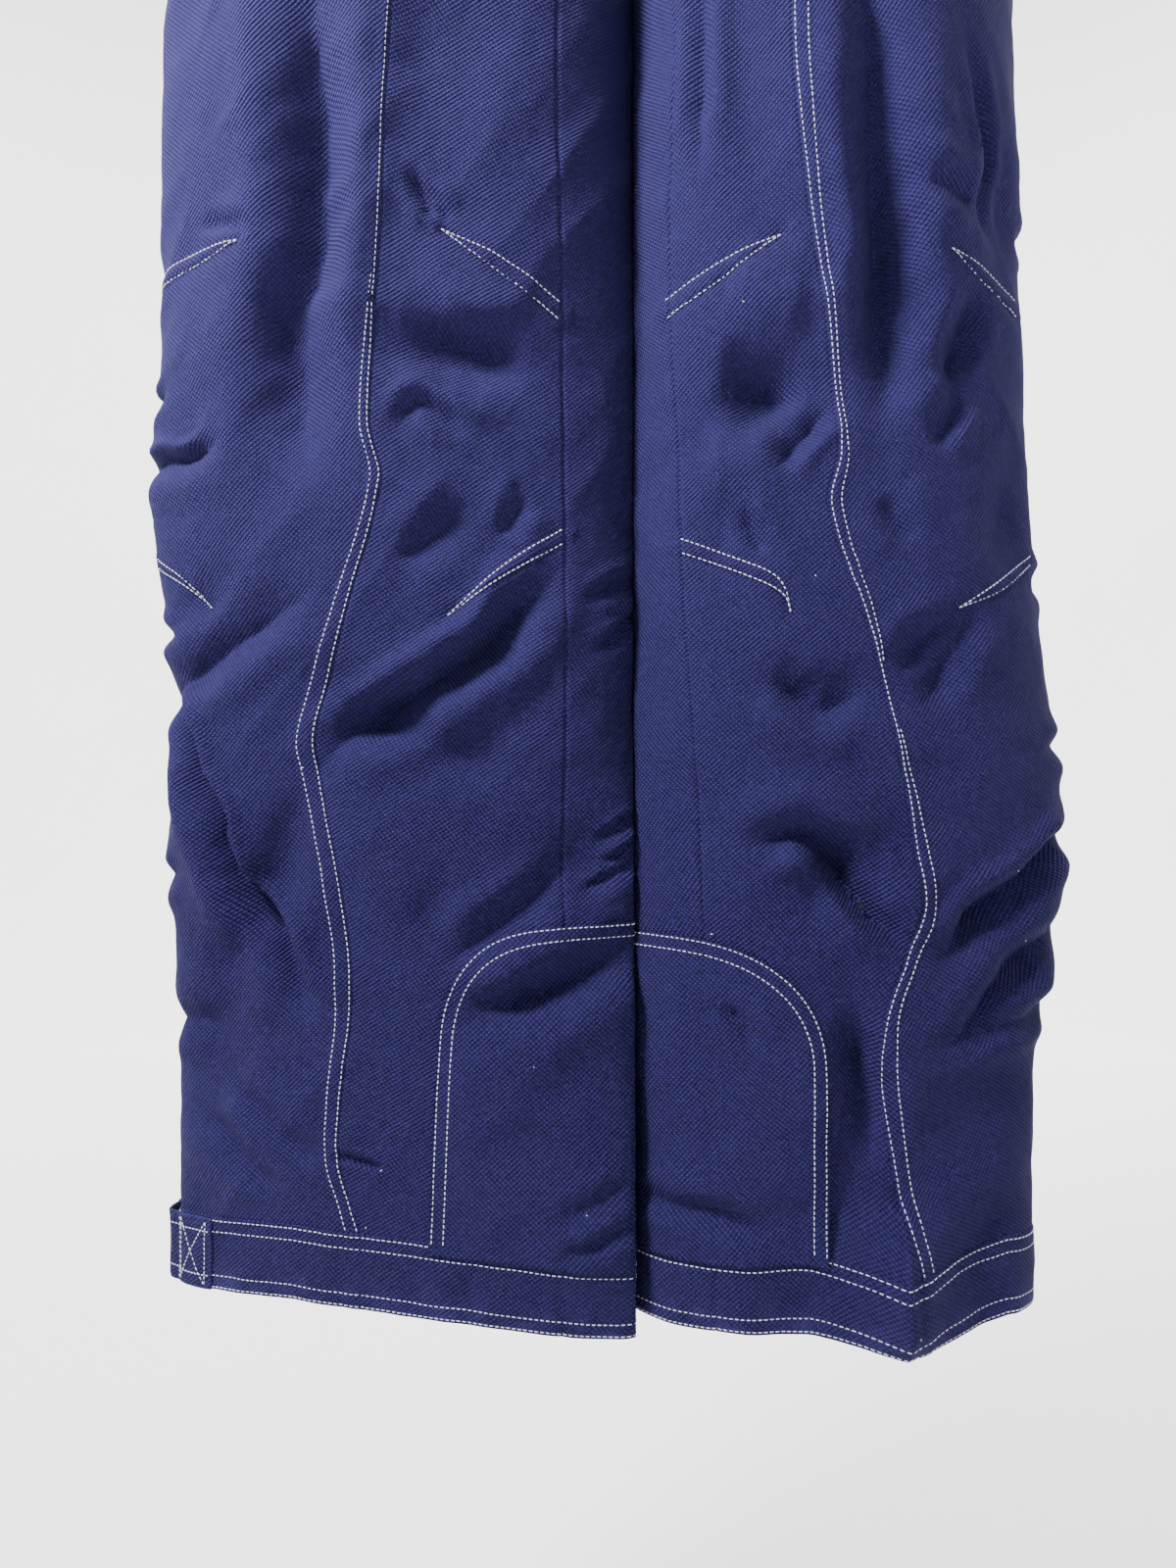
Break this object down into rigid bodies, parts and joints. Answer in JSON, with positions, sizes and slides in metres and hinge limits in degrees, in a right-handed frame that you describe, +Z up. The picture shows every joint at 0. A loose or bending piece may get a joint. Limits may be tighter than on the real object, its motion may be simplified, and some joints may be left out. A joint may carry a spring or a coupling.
{
  "type": "ski pants",
  "caption": "Insulated ski pants with shaped knees, inner-ankle scuff guards, snow gaiters, hem straps, zipped pockets and a zip fly under a snapped waist tab.",
  "frame": {"origin": "middle of the waistband's top edge, where the garment is held up", "axes": "+Z up along the hanging garment; the front faces -Y; the wearer's left is +X"},
  "size_m": [0.522, 0.1686, 1.09],
  "materials": {
    "shell": "coarse woven navy, matte",
    "lining": "plain woven, slight sheen",
    "webbing": "ribbed or brushed tape, matte",
    "zip_tape": "knitted tape with moulded coil",
    "zip_metal": "dark plated, satin",
    "snap_metal": "satin"
  },
  "bodies": {
    "seat": {"waistband": "shell", "waist_snap_stud": "snap_metal", "fly_zip": "zip_tape", "fly_shield": "lining", "belt_loop_right_front": "shell", "belt_loop_right_rear": "shell", "belt_loop_centre_back": "shell", "belt_loop_left_rear": "shell", "belt_loop_left_front": "shell", "right_seat_front": "shell", "right_seat_back": "shell", "right_pocket_welt": "shell", "right_pocket_zip": "zip_tape", "right_pocket_bag": "lining", "left_seat_front": "shell", "left_seat_back": "shell", "left_pocket_welt": "shell", "left_pocket_zip": "zip_tape", "left_pocket_bag": "lining"},
    "waist_tab": {"waist_tab": "shell", "waist_snap_cap": "snap_metal"},
    "fly_slider": {"fly_slider": "zip_metal"},
    "fly_puller": {"fly_puller": "zip_metal"},
    "right_thigh": {"right_hip_fold": "shell", "right_thigh_side_front": "shell", "right_thigh_centre_front": "shell", "right_thigh_back": "shell"},
    "right_shin": {"right_knee_fold": "shell", "right_shin_side_front": "shell", "right_shin_centre_front": "shell", "right_shin_back": "shell", "right_scuff_guard": "shell", "right_hem_band": "shell", "right_hem_strap_anchor": "shell", "right_hem_strap_patch": "webbing", "right_snow_gaiter": "lining", "right_gaiter_elastic": "webbing"},
    "right_hem_strap": {"right_hem_strap": "shell"},
    "right_pocket_slider": {"right_pocket_slider": "zip_metal"},
    "right_pocket_puller": {"right_pocket_puller": "zip_metal"},
    "left_thigh": {"left_hip_fold": "shell", "left_thigh_side_front": "shell", "left_thigh_centre_front": "shell", "left_thigh_back": "shell"},
    "left_shin": {"left_knee_fold": "shell", "left_shin_side_front": "shell", "left_shin_centre_front": "shell", "left_shin_back": "shell", "left_scuff_guard": "shell", "left_hem_band": "shell", "left_hem_strap_anchor": "shell", "left_hem_strap_patch": "webbing", "left_snow_gaiter": "lining", "left_gaiter_elastic": "webbing"},
    "left_hem_strap": {"left_hem_strap": "shell"},
    "left_pocket_slider": {"left_pocket_slider": "zip_metal"},
    "left_pocket_puller": {"left_pocket_puller": "zip_metal"}
  },
  "joints": [
    {"name": "right_hip", "type": "hinge", "parent": "seat", "child": "right_thigh", "pos_m": [0, -0.006, -0.29], "axis": [-1, 0, 0], "range_deg": [-20, 90], "deforming": ["right_hip_fold"]},
    {"name": "right_knee", "type": "hinge", "parent": "right_thigh", "child": "right_shin", "pos_m": [0, -0.016, -0.61], "axis": [1, 0, 0], "range_deg": [0, 100], "deforming": ["right_knee_fold"]},
    {"name": "left_hip", "type": "hinge", "parent": "seat", "child": "left_thigh", "pos_m": [0, 0, -0.29], "axis": [-1, 0, 0], "range_deg": [-20, 90], "deforming": ["left_hip_fold"]},
    {"name": "left_knee", "type": "hinge", "parent": "left_thigh", "child": "left_shin", "pos_m": [0, -0.004, -0.61], "axis": [1, 0, 0], "range_deg": [0, 100], "deforming": ["left_knee_fold"]},
    {"name": "right_strap_peel", "type": "hinge", "parent": "right_shin", "child": "right_hem_strap", "pos_m": [-0.26579, 0.00094, -1.0695], "axis": [0, 0, 1], "range_deg": [0, 120]},
    {"name": "left_strap_peel", "type": "hinge", "parent": "left_shin", "child": "left_hem_strap", "pos_m": [0.20485, 0.01042, -1.0695], "axis": [0, 0, -1], "range_deg": [0, 120]},
    {"name": "waist_tab_open", "type": "hinge", "parent": "seat", "child": "waist_tab", "pos_m": [0.0301, -0.06399, -0.019], "axis": [0, 0, 1], "range_deg": [0, 150]},
    {"name": "fly_slide", "type": "slide", "parent": "seat", "child": "fly_slider", "axis": [0, -0.1164, -0.9932], "range_m": [0, 0.121]},
    {"name": "fly_pull", "type": "hinge", "parent": "fly_slider", "child": "fly_puller", "pos_m": [0, -0.06252, -0.05105], "axis": [-1, 0, 0], "range_deg": [0, 150]},
    {"name": "right_pocket_slide", "type": "slide", "parent": "seat", "child": "right_pocket_slider", "axis": [-0.4823, 0.0416, -0.875], "range_m": [0, 0.108]},
    {"name": "right_pocket_pull", "type": "hinge", "parent": "right_pocket_slider", "child": "right_pocket_puller", "pos_m": [-0.15038, -0.05566, -0.0706], "axis": [-0.7847, 0.4235, 0.4526], "range_deg": [0, 150]},
    {"name": "left_pocket_slide", "type": "slide", "parent": "seat", "child": "left_pocket_slider", "axis": [0.3923, 0.0442, -0.9188], "range_m": [0, 0.102]},
    {"name": "left_pocket_pull", "type": "hinge", "parent": "left_pocket_slider", "child": "left_pocket_puller", "pos_m": [0.14848, -0.0561, -0.07125], "axis": [-0.8268, -0.4207, -0.3733], "range_deg": [0, 150]}
  ]
}
